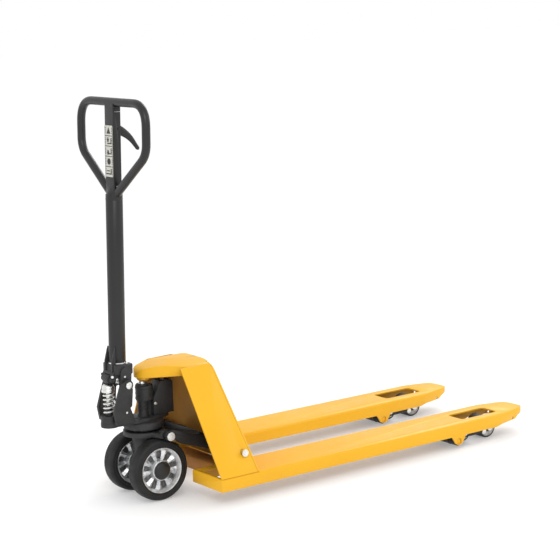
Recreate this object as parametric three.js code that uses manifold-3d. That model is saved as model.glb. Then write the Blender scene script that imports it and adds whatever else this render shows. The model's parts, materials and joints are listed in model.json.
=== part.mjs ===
// Hand pallet truck with a steering hydraulic pump, two forks and a pump handle.
// Millimetres, +Z up, +X towards the fork tips, +Y to the left of an operator who faces the forks.
// Positions along X are counted from the heel end of the forks; the last group centres the whole truck.
import * as THREE from "three";
import { mergeVertices } from "three/addons/utils/BufferGeometryUtils.js";
import Module from "manifold-3d";

const wasm = await Module();
wasm.setup();

// ---- driving dimensions ----------------------------------------------------------------------
const FORK_LENGTH = 1286; // channel, heel end to tip
const HALF_WIDTH = 275; // truck centre to the outside of a fork
const FORK_HALF = 80; // half the width of one fork
const FORK_Y = HALF_WIDTH - FORK_HALF; // centre of a fork
const FORK_TOP = 85; // lowered height
const HEEL_STEP = 0.4; // the welded heel is this much lower than the load-carrying top
const HEEL_TOP = FORK_TOP - HEEL_STEP;
const SKIRT_BOTTOM = 45; // lower edge of the fork channel
const STEEL = 5; // fork sheet thickness
const PLATE = 6; // heel plate thickness
const GAP = 0.4; // clearance between touching pieces
const STEER_X = -97; // steering axis
const WHEEL_R = 95; // steer wheel
const WHEEL_HALF = 25; // half the width of a steer wheel
const WHEEL_Y = 72; // centre of a steer wheel
const RIM_R = 71; // where the tyre sits on the rim
const SHAFT = { x: 104, z: 144 }; // torsion shaft of the rocker arms
const ROCKER_PIN = { x: -72, z: 201 }; // where the rocker arms push on the base bracket
const LUG = { x: 949, z: 27 }; // pivot of a wheel frame in the fork lugs
const LOAD = { x: 1118, z: 37, r: 37 }; // load roller
const EXIT = { x: 1010, z: 37, r: 30 }; // exit roller
const ENTRY = { x: 1209, z: 56.5, r: 21.5 }; // entry roller at the tip
const LIFT = 115; // how far the forks rise
const LEVER_R = 76; // torsion shaft to the push rod's rear pin
const LINK_R = 44; // lug pivot to the push rod's front pin
const ROD_OFFSET = 20; // rod eyes sit this far behind the shaft and the lug
const PUMP = { x: -215.3, z: 369 }; // plunger axis, and the top of its spring cap
const PIVOT = { x: -175.5, z: 366 }; // handle pivot
const HANDLE_LEAN = THREE.MathUtils.degToRad(1.9); // the upright handle leans to the forks
const HANDLE_TOP = 845; // pivot to the middle of the top bar, along the handle
const TUBE_R = 25.7; // round part of the handle
const TUBE_X = -5.5; // the tube stands a little behind the pivot
const HEAD_HALF_Y = 24; // flat-sided part of the handle, inside the loop
const HEAD_HALF_X = 13.5;
const LOOP_R = 14; // radius of the loop's tube
const LOOP_HALF = 184; // handle centre to the middle of the loop's side
const CENTRE_X = 521.35; // middle of the whole truck's length

// ---- materials -------------------------------------------------------------------------------
const paint = (color, roughness, metalness) => () =>
  new THREE.MeshStandardMaterial({ color, roughness, metalness });
const yellow = paint(0xfbc93a, 0.4, 0);
const black = paint(0x2b2a2a, 0.5, 0.1);
const castBlack = paint(0x262626, 0.65, 0.1);
const zinc = paint(0xd6d6d2, 0.3, 0.9);
const castAluminium = paint(0xb4b6b8, 0.4, 0.8);
const rubber = paint(0x323231, 0.85, 0);
const nylon = paint(0x4a4a4a, 0.55, 0);
const cream = paint(0xe6e4d8, 0.5, 0);

// ---- solids ----------------------------------------------------------------------------------
// A closed three.js geometry as a solid, turned the right way out.
function solid(geometry) {
  const bare = geometry.clone();
  bare.deleteAttribute("normal");
  bare.deleteAttribute("uv");
  const merged = mergeVertices(bare, 1e-4);
  const vertProperties = new Float32Array(merged.attributes.position.array);
  const make = (triVerts) =>
    new wasm.Manifold(new wasm.Mesh({ numProp: 3, vertProperties, triVerts }));
  const triVerts = new Uint32Array(merged.index.array);
  const made = make(triVerts);
  return made.volume() < 0 ? make(triVerts.slice().reverse()) : made;
}

// A solid as a three.js geometry.
function geometryOf(body) {
  const mesh = body.getMesh();
  const count = mesh.vertProperties.length / mesh.numProp;
  const position = new Float32Array(count * 3);
  for (let i = 0; i < count; i += 1)
    for (let k = 0; k < 3; k += 1)
      position[3 * i + k] = mesh.vertProperties[mesh.numProp * i + k];
  const geometry = new THREE.BufferGeometry();
  geometry.setAttribute("position", new THREE.BufferAttribute(position, 3));
  geometry.setIndex(new THREE.BufferAttribute(new Uint32Array(mesh.triVerts), 1));
  return geometry;
}

const join = (...bodies) => bodies.reduce((sum, body) => sum.add(body));
const cut = (body, ...tools) => tools.reduce((rest, tool) => rest.subtract(tool), body);

function box(x0, x1, y0, y1, z0, z1) {
  const geometry = new THREE.BoxGeometry(x1 - x0, y1 - y0, z1 - z0);
  return solid(geometry.translate((x0 + x1) / 2, (y0 + y1) / 2, (z0 + z1) / 2));
}

function cylinderY(x, z, r, y0, y1, segments = 16) {
  const geometry = new THREE.CylinderGeometry(r, r, y1 - y0, segments);
  return solid(geometry.translate(x, (y0 + y1) / 2, z));
}

function cylinderZ(x, y, r, z0, z1, segments = 24) {
  const geometry = new THREE.CylinderGeometry(r, r, z1 - z0, segments).rotateX(Math.PI / 2);
  return solid(geometry.translate(x, y, (z0 + z1) / 2));
}

function extrude(shape, depth, curveSegments = 3) {
  return new THREE.ExtrudeGeometry(shape, { depth, bevelEnabled: false, curveSegments });
}

// An outline in X and Z, extruded from y0 to y1.
function alongY(shape, y0, y1) {
  return solid(extrude(shape, y1 - y0).rotateX(Math.PI / 2).translate(0, y1, 0));
}

// An outline in X and Y, extruded from z0 to z1.
function alongZ(shape, z0, z1, curveSegments = 3) {
  return solid(extrude(shape, z1 - z0, curveSegments).translate(0, 0, z0));
}

// An outline in Y and Z, extruded from x0 to x1.
function alongX(shape, x0, x1) {
  const turn = new THREE.Matrix4().makeBasis(
    new THREE.Vector3(0, 1, 0),
    new THREE.Vector3(0, 0, 1),
    new THREE.Vector3(1, 0, 0),
  );
  return solid(extrude(shape, x1 - x0).applyMatrix4(turn).translate(x0, 0, 0));
}

// A profile of [radius, height] points turned round the Y axis through (x, z), heights along Y.
function turnedY(profile, x, z, segments) {
  const points = profile.map(([r, y]) => new THREE.Vector2(r, y));
  return solid(new THREE.LatheGeometry(points, segments).translate(x, 0, z));
}

// A profile of [radius, height] points turned round the Z axis through (x, 0), heights along Z.
function turnedZ(profile, x, segments) {
  const points = profile.map(([r, z]) => new THREE.Vector2(r, -z));
  return solid(new THREE.LatheGeometry(points, segments).rotateX(-Math.PI / 2).translate(x, 0, 0));
}

function polygon(points) {
  return new THREE.Shape(points.map(([a, b]) => new THREE.Vector2(a, b)));
}

// The outline of a belt round two circles.
function link(xa, ya, ra, xb, yb, rb) {
  const along = Math.atan2(yb - ya, xb - xa);
  const lift = Math.acos((ra - rb) / Math.hypot(xb - xa, yb - ya));
  const shape = new THREE.Shape();
  shape.absarc(xa, ya, ra, along + lift, along - lift + 2 * Math.PI, false);
  shape.absarc(xb, yb, rb, along - lift, along + lift, false);
  shape.closePath();
  return shape;
}

// A rectangle with rounded corners, about (a, b).
function roundedRect(a, b, halfA, halfB, r) {
  const shape = new THREE.Shape();
  shape.absarc(a + halfA - r, b - halfB + r, r, -Math.PI / 2, 0, false);
  shape.absarc(a + halfA - r, b + halfB - r, r, 0, Math.PI / 2, false);
  shape.absarc(a - halfA + r, b + halfB - r, r, Math.PI / 2, Math.PI, false);
  shape.absarc(a - halfA + r, b - halfB + r, r, Math.PI, 1.5 * Math.PI, false);
  shape.closePath();
  return shape;
}

// A flat plate: a convex polygon of corners in space, thickened by one offset.
function plate(corners, offset) {
  const n = corners.length;
  const all = [...corners, ...corners.map((c) => c.map((v, i) => v + offset[i]))];
  const index = [];
  for (let i = 1; i < n - 1; i += 1) index.push(0, i, i + 1, n, n + i + 1, n + i);
  for (let i = 0; i < n; i += 1) {
    const j = (i + 1) % n;
    index.push(i, n + i, j, j, n + i, n + j);
  }
  const geometry = new THREE.BufferGeometry();
  geometry.setAttribute("position", new THREE.Float32BufferAttribute(all.flat(), 3));
  geometry.setIndex(index);
  return solid(geometry);
}

// A flat polygon in space with its corners rounded: each corner comes as [point, radius].
function roundedCorners(corners, steps = 5) {
  const points = corners.map(([point]) => new THREE.Vector3(...point));
  const out = [];
  corners.forEach(([, radius], i) => {
    const here = points[i];
    const before = points[(i + corners.length - 1) % corners.length];
    const after = points[(i + 1) % corners.length];
    const toBefore = before.clone().sub(here).normalize();
    const toAfter = after.clone().sub(here).normalize();
    if (radius === 0) {
      out.push(here.toArray());
      return;
    }
    const start = here.clone().addScaledVector(toBefore, radius);
    const end = here.clone().addScaledVector(toAfter, radius);
    const curve = new THREE.QuadraticBezierCurve3(start, here, end);
    for (const point of curve.getPoints(steps)) out.push(point.toArray());
  });
  return out;
}

const truck = new THREE.Group();

function add(name, body, material, parent = truck) {
  const mesh = new THREE.Mesh(geometryOf(body), material());
  mesh.name = name;
  parent.add(mesh);
}

const SIDES = [
  ["left", 1],
  ["right", -1],
];

// ---- forks -----------------------------------------------------------------------------------
const TIP_START = 1140; // where the fork starts to narrow
const NOSE_X = 1236; // where the tip starts to round off

function forkPlan(inset) {
  const half = FORK_HALF - inset;
  const tip = FORK_LENGTH - inset * 2;
  const shape = new THREE.Shape();
  shape.moveTo(inset, -half);
  shape.lineTo(TIP_START, -half);
  shape.lineTo(NOSE_X, -(55 - inset));
  shape.bezierCurveTo(NOSE_X + 27, -(48 - inset), tip, -(30 - inset), tip, 0);
  shape.bezierCurveTo(tip, 30 - inset, NOSE_X + 27, 48 - inset, NOSE_X, 55 - inset);
  shape.lineTo(TIP_START, half);
  shape.lineTo(inset, half);
  shape.closePath();
  return shape;
}

// Side view of the fork, with the lug that carries the wheel frame.
function forkSide() {
  const lugHalf = 31;
  const shape = new THREE.Shape();
  shape.moveTo(0, SKIRT_BOTTOM);
  shape.lineTo(LUG.x - lugHalf, SKIRT_BOTTOM);
  shape.lineTo(LUG.x - 15, 20);
  shape.quadraticCurveTo(LUG.x, 9, LUG.x + 15, 20);
  shape.lineTo(LUG.x + lugHalf, SKIRT_BOTTOM);
  shape.lineTo(LOAD.x, SKIRT_BOTTOM);
  shape.lineTo(LOAD.x + 24, 51);
  shape.lineTo(ENTRY.x + 14, 51);
  shape.lineTo(NOSE_X + 6, 61);
  shape.lineTo(FORK_LENGTH - 8, 67);
  shape.lineTo(FORK_LENGTH, 73);
  shape.lineTo(FORK_LENGTH - 5, 82);
  shape.lineTo(FORK_LENGTH - 20, FORK_TOP);
  shape.lineTo(0, FORK_TOP);
  return shape;
}

function forkSection(inset, bend) {
  const half = FORK_HALF - inset;
  const top = FORK_TOP - inset;
  const shape = new THREE.Shape();
  shape.moveTo(-half, 0);
  shape.lineTo(half, 0);
  shape.absarc(half - bend, top - bend, bend, 0, Math.PI / 2, false);
  shape.absarc(-half + bend, top - bend, bend, Math.PI / 2, Math.PI, false);
  shape.closePath();
  return shape;
}

function forkBody(side) {
  const outside = alongX(forkSection(0, 9), 0, FORK_LENGTH)
    .intersect(alongZ(forkPlan(0), 0, FORK_TOP, 8))
    .intersect(alongY(forkSide(), -FORK_HALF, FORK_HALF));
  const hollow = alongX(forkSection(STEEL, 4), STEEL, FORK_LENGTH).intersect(
    alongZ(forkPlan(STEEL), 0, FORK_TOP, 8),
  );
  const heelStep = box(-1, FACE_X + 1.5, -90, 90, HEEL_TOP, FORK_TOP + 1);
  const rollerSlot = alongZ(roundedRect(1079, side * 2, 79, 37.5, 12), 70, 90);
  const heelSlot = alongZ(roundedRect(73.5, side * 10.5, 63.2, 52.5, 4), 70, 90);
  const lugBore = cylinderY(LUG.x, LUG.z, 10.4, -90, 90);
  const entryBore = cylinderY(ENTRY.x, ENTRY.z, 4.4, -90, 90, 12);
  return cut(outside, hollow, heelStep, rollerSlot, heelSlot, lugBore, entryBore);
}

// ---- heel frame ------------------------------------------------------------------------------
const HEEL_SLOPE = 175 / 315; // how far a side plate leans in for each mm of height
const FACE_LEAN = 0.1375; // how far the load face leans back for each mm of height
const FACE_X = 140; // foot of the load face
const CROSS_X = 75; // front of the channel between the heels
const HOOD_BOTTOM = 372;
const HOOD_TOP = 411;
const HOOD_HALF = 95;
const HOOD_NOSE = { x: -88, r: 32 };
const faceX = (z) => FACE_X - FACE_LEAN * (z - FORK_TOP);
const sideY = (z) => HALF_WIDTH - HEEL_SLOPE * (z - FORK_TOP);

function backPlate() {
  const foot = HEEL_TOP + GAP;
  const half = [
    [sideY(foot) - 1, foot, 0],
    [sideY(399.5) - 1, 399.5, 26],
    [60, 402.2, 0],
  ];
  const right = half.map(([y, z, radius]) => [[faceX(z), -y, z], radius]);
  const left = half.map(([y, z, radius]) => [[faceX(z), y, z], radius]).reverse();
  return plate(roundedCorners([...right, ...left]), [-PLATE, 0, 0]);
}

// The folded channel that ties the heels of the two forks together.
function crossMember() {
  const inner = FORK_Y - FORK_HALF - GAP;
  const outline = polygon([
    [CROSS_X, SKIRT_BOTTOM],
    [CROSS_X + STEEL, SKIRT_BOTTOM],
    [CROSS_X + STEEL, FORK_TOP - STEEL],
    [FACE_X - PLATE, FORK_TOP - STEEL],
    [FACE_X - PLATE, HEEL_TOP],
    [CROSS_X + 3, HEEL_TOP],
    [CROSS_X, HEEL_TOP - 3],
  ]);
  return alongY(outline, -inner, inner);
}

function sidePlate(side) {
  const foot = HEEL_TOP + GAP;
  const rear = (z) => faceX(z) - PLATE - GAP;
  const topFront = 398.5;
  const topRear = 401;
  const corners = [
    [[2, side * (sideY(foot) - 1), foot], 0],
    [[rear(foot), side * (sideY(foot) - 1), foot], 0],
    [[rear(topRear), side * (sideY(topRear) - 1), topRear], 22],
    [[-18, side * (sideY(topFront) - 1), topFront], 4],
  ];
  const body = plate(roundedCorners(corners), [0, -side * PLATE, 0]);
  return cut(body, cylinderY(SHAFT.x, SHAFT.z, 9.4, -HALF_WIDTH, HALF_WIDTH, 16));
}

function hoodPlan(inset, rear) {
  const half = HOOD_HALF - inset;
  const r = HOOD_NOSE.r - inset;
  const shape = new THREE.Shape();
  shape.absarc(HOOD_NOSE.x, 0, r, 0.66 * Math.PI, 1.34 * Math.PI, false);
  shape.lineTo(20, -half);
  shape.lineTo(rear, -half);
  shape.lineTo(rear, half);
  shape.lineTo(20, half);
  shape.closePath();
  return shape;
}

function hoodSection(inset) {
  const half = HOOD_HALF - inset;
  const top = HOOD_TOP - inset;
  const shape = new THREE.Shape();
  shape.moveTo(-half, 300);
  shape.lineTo(half, 300);
  shape.lineTo(half, top - 20);
  shape.quadraticCurveTo(half - 4, top - 11, half - 18, top - 8);
  shape.lineTo(45, top - 2);
  shape.lineTo(0, top);
  shape.lineTo(-45, top - 2);
  shape.lineTo(-half + 18, top - 8);
  shape.quadraticCurveTo(-half + 4, top - 11, -half, top - 20);
  shape.closePath();
  return shape;
}

// Side view of the hood: a nose that rounds down at the front, a crown that rounds over at the back.
function hoodSide() {
  const rear = faceX(HOOD_TOP) + 4;
  const shape = new THREE.Shape();
  shape.moveTo(-120, HOOD_BOTTOM);
  shape.lineTo(rear - 4, HOOD_BOTTOM);
  shape.lineTo(rear, 402);
  shape.quadraticCurveTo(rear - 1, HOOD_TOP, rear - 14, HOOD_TOP);
  shape.lineTo(10, HOOD_TOP);
  shape.lineTo(-95, HOOD_TOP - 8);
  shape.quadraticCurveTo(-114, HOOD_TOP - 10, -120, HOOD_BOTTOM + 16);
  shape.closePath();
  return shape;
}

function hoodBody() {
  const rear = faceX(HOOD_TOP) + 4;
  const outside = alongX(hoodSection(0), -130, rear)
    .intersect(alongZ(hoodPlan(0, rear), 300, HOOD_TOP))
    .intersect(alongY(hoodSide(), -HOOD_HALF, HOOD_HALF));
  const underside = polygon([
    [-112.8, 300],
    [rear + 1, 300],
    [rear + 1, HOOD_TOP - PLATE],
    [10, HOOD_TOP - PLATE],
    [-88, HOOD_TOP - PLATE - 9],
    [-106, HOOD_TOP - PLATE - 14],
    [-112.8, HOOD_TOP - PLATE - 21.5],
  ]);
  const hollow = alongX(hoodSection(PLATE), -120, rear + 1)
    .intersect(alongZ(hoodPlan(PLATE, rear + 1), 300, HOOD_TOP))
    .intersect(alongY(underside, -HOOD_HALF, HOOD_HALF));
  const low = HOOD_BOTTOM - 10;
  const high = 403;
  const plateRoom = polygon([
    [faceX(low) - PLATE - GAP, low],
    [rear + 20, low],
    [rear + 20, high],
    [faceX(high) - PLATE - GAP, high],
  ]);
  return cut(outside, hollow, alongY(plateRoom, -HALF_WIDTH, HALF_WIDTH));
}

// The seat under the hood's nose that the lift rod pushes on.
function pistonSeat() {
  const profile = [[0, 361], [18, 361], [21, 365], [21, 382.8], [14, 388], [10, 392], [0, 392]];
  return turnedZ(profile, STEER_X + 6, 24);
}

function shaftEndPin(side) {
  const body = cylinderY(SHAFT.x, SHAFT.z, 9, 228.5, 251, 20);
  const head = cylinderY(SHAFT.x, SHAFT.z, 11.5, 249.5, 254, 20);
  return side > 0 ? join(body, head) : join(body, head).mirror([0, 1, 0]);
}

function lugPin() {
  return cylinderY(LUG.x, LUG.z, 10, -77, 77, 20);
}

for (const [name, side] of SIDES) {
  const fork = new THREE.Group();
  fork.position.y = side * FORK_Y;
  truck.add(fork);
  add(`fork_${name}`, forkBody(side), yellow, fork);
  add(`lug_pin_${name}`, lugPin(), zinc, fork);
  add(`side_plate_${name}`, sidePlate(side), yellow);
  add(`shaft_end_pin_${name}`, shaftEndPin(side), zinc);
}
add("back_plate", backPlate(), yellow);
add("cross_member", crossMember(), yellow);
add("hood", hoodBody(), yellow);
add("piston_seat", pistonSeat(), yellow);

// ---- rocker arms, push rods and fork rollers ---------------------------------------------------
// The rocker turns about its pins while the forks rise; half of that turn is the lever's tilt at rest.
const ARM_R = Math.hypot(SHAFT.x - ROCKER_PIN.x, SHAFT.z - ROCKER_PIN.z);
const angleAt = (lift) => Math.asin((SHAFT.z + lift - ROCKER_PIN.z) / ARM_R);
const leverTilt = (angleAt(LIFT) - angleAt(0)) / 2;
const LEVER_PIN = {
  x: SHAFT.x - LEVER_R * Math.sin(leverTilt),
  z: SHAFT.z - LEVER_R * Math.cos(leverTilt),
};
const linkTilt = THREE.MathUtils.degToRad(20.85);
const LINK_PIN = {
  x: LUG.x - LINK_R * Math.sin(linkTilt),
  z: LUG.z + LINK_R * Math.cos(linkTilt),
};

function rockerArm() {
  const shaft = cylinderY(SHAFT.x, SHAFT.z, 12, -228, 228);
  let body = shaft;
  for (const side of [-1, 1]) {
    const inner = side * 98;
    const outer = side * 112;
    const [y0, y1] = [Math.min(inner, outer), Math.max(inner, outer)];
    const outline = polygon([
      [ROCKER_PIN.x - 14, 191],
      [ROCKER_PIN.x - 6, 189.5],
      [-52, 185],
      [-36, 172],
      [SHAFT.x - 4, SHAFT.z - 19],
      [SHAFT.x + 14, SHAFT.z - 13],
      [SHAFT.x + 19, SHAFT.z],
      [SHAFT.x + 14, SHAFT.z + 13],
      [SHAFT.x + 2, SHAFT.z + 19],
      [ROCKER_PIN.x + 8, 219],
      [ROCKER_PIN.x - 10, 217],
      [ROCKER_PIN.x - 17, 206],
    ]);
    body = body.add(alongY(outline, y0, y1));
    for (const offset of [-12, 12]) {
      const y = side * FORK_Y + offset;
      const lever = link(SHAFT.x, SHAFT.z, 18, LEVER_PIN.x, LEVER_PIN.z, 7.5);
      body = body.add(alongY(lever, y - 4, y + 4));
    }
    const rodPin = cylinderY(LEVER_PIN.x, LEVER_PIN.z, 5, side * FORK_Y - 15, side * FORK_Y + 15, 16);
    body = body.add(rodPin);
  }
  const web = polygon([
    [36, 172],
    [SHAFT.x - 2, SHAFT.z + 6],
    [SHAFT.x, SHAFT.z + 17],
    [42, 192],
  ]);
  body = body.add(alongY(web, -99, 99));
  return cut(body, cylinderY(ROCKER_PIN.x, ROCKER_PIN.z, 7.4, -130, 130, 20));
}

function rockerPin(side) {
  const body = join(
    cylinderY(ROCKER_PIN.x, ROCKER_PIN.z, 7, 80, 116, 20),
    cylinderY(ROCKER_PIN.x, ROCKER_PIN.z, 13.5, 112.4, 119, 24),
  );
  return side > 0 ? body : body.mirror([0, 1, 0]);
}

function pushRod() {
  const rear = { x: SHAFT.x - ROD_OFFSET, z: SHAFT.z - 74.1 };
  const front = { x: LUG.x - ROD_OFFSET, z: LUG.z + 42.5 };
  const bar = box(rear.x - 13, front.x + 13, -6, 6, 59.5, 79);
  const eye = (at) => alongY(roundedRect(at.x, at.z, 10, 7.3, 6.5), -8, 8);
  return cut(bar, eye(rear), eye(front));
}

function wheelFrame() {
  let body = cylinderY(LUG.x, LUG.z, 16, -73, 73);
  for (const side of [-1, 1]) {
    const [y0, y1] = side > 0 ? [36.5, 43] : [-43, -36.5];
    body = body.add(alongY(link(LUG.x, LUG.z, 17, EXIT.x, EXIT.z, 15), y0, y1));
    body = body.add(alongY(link(EXIT.x, EXIT.z, 15, LOAD.x, LOAD.z, 12.5), y0, y1));
    const [e0, e1] = side > 0 ? [8, 16] : [-16, -8];
    body = body.add(alongY(link(LUG.x, LUG.z, 16, LINK_PIN.x, LINK_PIN.z, 7.5), e0, e1));
  }
  body = body.add(cylinderY(LINK_PIN.x, LINK_PIN.z, 5, -15, 15, 16));
  const bores = [
    cylinderY(LUG.x, LUG.z, 10.4, -90, 90, 20),
    cylinderY(LOAD.x, LOAD.z, 8.4, -90, 90, 16),
    cylinderY(EXIT.x, EXIT.z, 6.4, -90, 90, 16),
  ];
  return cut(body, ...bores);
}

function rollerAxle() {
  return join(
    cylinderY(LOAD.x, LOAD.z, 8, -46, 46, 20),
    cylinderY(LOAD.x, LOAD.z, 11, 43.5, 48, 20),
    cylinderY(LOAD.x, LOAD.z, 11, -48, -43.5, 20),
  );
}

function loadRoller() {
  const r = LOAD.r;
  const profile = [[8.4, -34], [r - 2, -35], [r, -33]];
  const other = profile.map(([radius, y]) => [radius, -y]).reverse();
  return turnedY([...profile, ...other, profile[0]], LOAD.x, LOAD.z, 22);
}

function exitRoller() {
  const r = EXIT.r;
  const profile = [[0, -42], [6, -42], [6, -35.5], [r - 3, -35.5], [r, -32.5]];
  const other = profile.map(([radius, y]) => [radius, -y]).reverse();
  return turnedY([...profile, ...other], EXIT.x, EXIT.z, 18);
}

function entryRoller() {
  const r = ENTRY.r;
  const profile = [[0, -52], [4, -52], [4, -28], [r - 2, -28], [r, -26]];
  const other = profile.map(([radius, y]) => [radius, -y]).reverse();
  return turnedY([...profile, ...other], ENTRY.x, ENTRY.z, 16);
}

add("rocker_arm", rockerArm(), black);
for (const [name, side] of SIDES) {
  const fork = new THREE.Group();
  fork.position.y = side * FORK_Y;
  truck.add(fork);
  add(`rocker_pin_${name}`, rockerPin(side), zinc);
  add(`push_rod_${name}`, pushRod(), black, fork);
  add(`wheel_frame_${name}`, wheelFrame(), black, fork);
  add(`roller_axle_${name}`, rollerAxle(), zinc, fork);
  add(`load_roller_${name}`, loadRoller(), nylon, fork);
  add(`exit_roller_${name}`, exitRoller(), nylon, fork);
  add(`entry_roller_${name}`, entryRoller(), nylon, fork);
}

// ---- base bracket and steering pump --------------------------------------------------------------
const NECK_R = 29.4; // pump neck inside the base bracket
const RELEASE = { x: -180, y: 46 }; // spindle of the release arm, in a boss on the pump
const ROD_R = 11; // lift rod
const PLUNGER_R = 7;
const HEAD_X = STEER_X + 7; // head of the lift cylinder
const HEAD_R = 27;
const RESERVOIR_X = -71; // side of the reservoir that faces the cylinder

function baseBracket() {
  const ring = cylinderZ(STEER_X, 0, 64, 193.5, 208, 40);
  const ears = polygon([
    [STEER_X - 20, -30],
    [ROCKER_PIN.x - 19, -96],
    [ROCKER_PIN.x + 14, -96],
    [STEER_X + 44, -30],
    [STEER_X + 44, 30],
    [ROCKER_PIN.x + 14, 96],
    [ROCKER_PIN.x - 19, 96],
    [STEER_X - 20, 30],
  ]);
  const wing = alongZ(ears, 193.5, 208);
  let body = ring.add(wing);
  for (const side of [-1, 1]) {
    const [y0, y1] = side > 0 ? [78, 96] : [-96, -78];
    const ear = roundedRect(ROCKER_PIN.x - 3, 204.5, 17, 13, 8);
    body = body.add(alongY(ear, y0, y1));
    const slot = roundedRect(ROCKER_PIN.x - 4.4, ROCKER_PIN.z, 12.4, 7.9, 7.5);
    body = body.subtract(alongY(slot, y0 - 12, y1 + 12));
  }
  return cut(body, cylinderZ(STEER_X, 0, 30, 180, 230, 40));
}

function thrustBearing() {
  const profile = [[NECK_R + 0.6, 208.5], [44, 208.5], [46, 210], [46, 212], [44, 213.5]];
  return turnedZ([...profile, [NECK_R + 0.6, 213.5], profile[0]], STEER_X, 32);
}

function pumpBody() {
  const hub = cylinderZ(STEER_X, 0, 38, 62, 190, 32);
  const neck = cylinderZ(STEER_X, 0, NECK_R, 189, 215, 40);
  const flange = turnedZ([[0, 214], [58, 214], [62, 218], [62, 235], [58, 238], [0, 238]], STEER_X, 36);
  const wall = [[18, 250], [15.5, 262], [15.5, 286], [20, 301]];
  const cylinder = turnedZ([[0, 237], [56, 237], ...wall, [0, 301]], STEER_X, 32);
  const head = cylinderZ(HEAD_X, 0, HEAD_R, 300, 345, 28);
  const rib = box(STEER_X, RESERVOIR_X - GAP, -8, 8, 249, 300.5);
  const gallery = alongZ(link(STEER_X, 0, 42, PUMP.x, 0, 28), 238, 249);
  const shelf = alongZ(link(STEER_X, 0, 42, STEER_X + 75, 0, 14), 238, 250.1);
  const valveBoss = alongZ(link(RELEASE.x, 20, 10, RELEASE.x, RELEASE.y, 8), 226, 238.5);
  const barrel = cylinderZ(PUMP.x, 0, 27, 236, 272, 28);
  const guide = cylinderZ(PUMP.x, 0, 10.2, 270, 299.5, 20);
  const rodBore = cylinderZ(STEER_X, 0, ROD_R + 0.5, 122, 350);
  const plungerBore = cylinderZ(PUMP.x, 0, PLUNGER_R + 0.4, 241, 310, 20);
  const axleBore = cylinderY(STEER_X, WHEEL_R, 10.4, -60, 60);
  const casting = join(hub, neck, flange, cylinder, head, rib, gallery, shelf, barrel, guide, valveBoss);
  return cut(casting, rodBore, plungerBore, axleBore);
}

// The casting that carries the handle: a floor bolted on the pump and two cheeks.
function handleBracket() {
  const cheek = new THREE.Shape();
  cheek.moveTo(-221, 249.5);
  cheek.lineTo(-155.5, 249.5);
  cheek.lineTo(-172, 296);
  cheek.lineTo(-166, 301);
  cheek.lineTo(PIVOT.x + 15, 353);
  cheek.absarc(PIVOT.x, PIVOT.z, 17, -0.7, 0.75 * Math.PI, false);
  cheek.lineTo(-200, 373);
  cheek.lineTo(-215, 331);
  cheek.lineTo(-228, 290);
  cheek.closePath();
  const floor = box(-220, -156.5, -52, 52, 249.5, 258);
  const cheeks = join(alongY(cheek, -54, -43), alongY(cheek, 43, 54));
  const bore = cylinderY(PIVOT.x, PIVOT.z, 8.4, -60, 60, 20);
  const barrelHole = cylinderZ(PUMP.x, 0, 27.5, 240, 280, 28);
  return cut(join(floor, cheeks), bore, barrelHole);
}

function oilReservoir() {
  const outline = polygon([
    [RESERVOIR_X, 250.5],
    [0, 250.5],
    [0, 345],
    [-4, 352],
    [-44, 352],
    [RESERVOIR_X, 303],
  ]);
  const headRoom = cylinderZ(HEAD_X, 0, HEAD_R + GAP, 299, 346, 28);
  return cut(alongY(outline, -22, 22), headRoom);
}

function cylinderGland() {
  const inner = ROD_R + 0.5;
  const profile = [[inner, 345.4], [19.5, 345.4], [19.5, 349], [17.5, 351], [inner, 351]];
  return turnedZ([...profile, profile[0]], STEER_X, 28);
}

function liftRod() {
  const profile = [[0, 124], [ROD_R, 124], [ROD_R, 354], [9, 357], [9, 358.4], [5, 360.6], [0, 360.6]];
  return turnedZ(profile, STEER_X, 24);
}

function wheelAxle() {
  const half = WHEEL_Y + WHEEL_HALF - 2;
  return cylinderY(STEER_X, WHEEL_R, 10, -half, half, 20);
}

function handlePivotPin() {
  return join(
    cylinderY(PIVOT.x, PIVOT.z, 8, -56, 56, 20),
    cylinderY(PIVOT.x, PIVOT.z, 10.5, 54.5, 59, 20),
    cylinderY(PIVOT.x, PIVOT.z, 10.5, -59, -54.5, 20),
  );
}

// The small arm that opens the release valve beside the plunger barrel.
function releaseArm() {
  const spindle = cylinderZ(RELEASE.x, RELEASE.y, 4, 239, 248, 12);
  const arm = alongZ(link(RELEASE.x, RELEASE.y, 7, RELEASE.x - 24, RELEASE.y, 5), 239, 243);
  return join(spindle, arm);
}

function pumpPlunger() {
  return turnedZ([[0, 292.5], [PLUNGER_R, 292.5], [PLUNGER_R, 360], [0, 360]], PUMP.x, 20);
}

function springCap() {
  const top = PUMP.z;
  const inner = PLUNGER_R + 0.5;
  const profile = [[0, 360.5], [inner, 360.5], [inner, 351], [11, 351], [11, 344], [19.3, 344]];
  return turnedZ([...profile, [19.3, 361], [16, top - 3], [12, top], [0, top]], PUMP.x, 24);
}

function pumpSpring() {
  const wire = 2.5;
  const radius = 15;
  const turns = 5;
  const low = 272.6 + wire;
  const high = 343.5 - wire;
  class Coil extends THREE.Curve {
    getPoint(t, target = new THREE.Vector3()) {
      const turn = 2 * Math.PI * turns * t;
      const rise = THREE.MathUtils.lerp(low, high, t);
      return target.set(PUMP.x + radius * Math.cos(turn), radius * Math.sin(turn), rise);
    }
  }
  const section = new THREE.Shape();
  section.absarc(0, 0, wire, 0, 2 * Math.PI, false);
  const geometry = new THREE.ExtrudeGeometry(section, {
    extrudePath: new Coil(),
    steps: 48,
    curveSegments: 3,
    bevelEnabled: false,
  });
  return solid(geometry);
}

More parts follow.
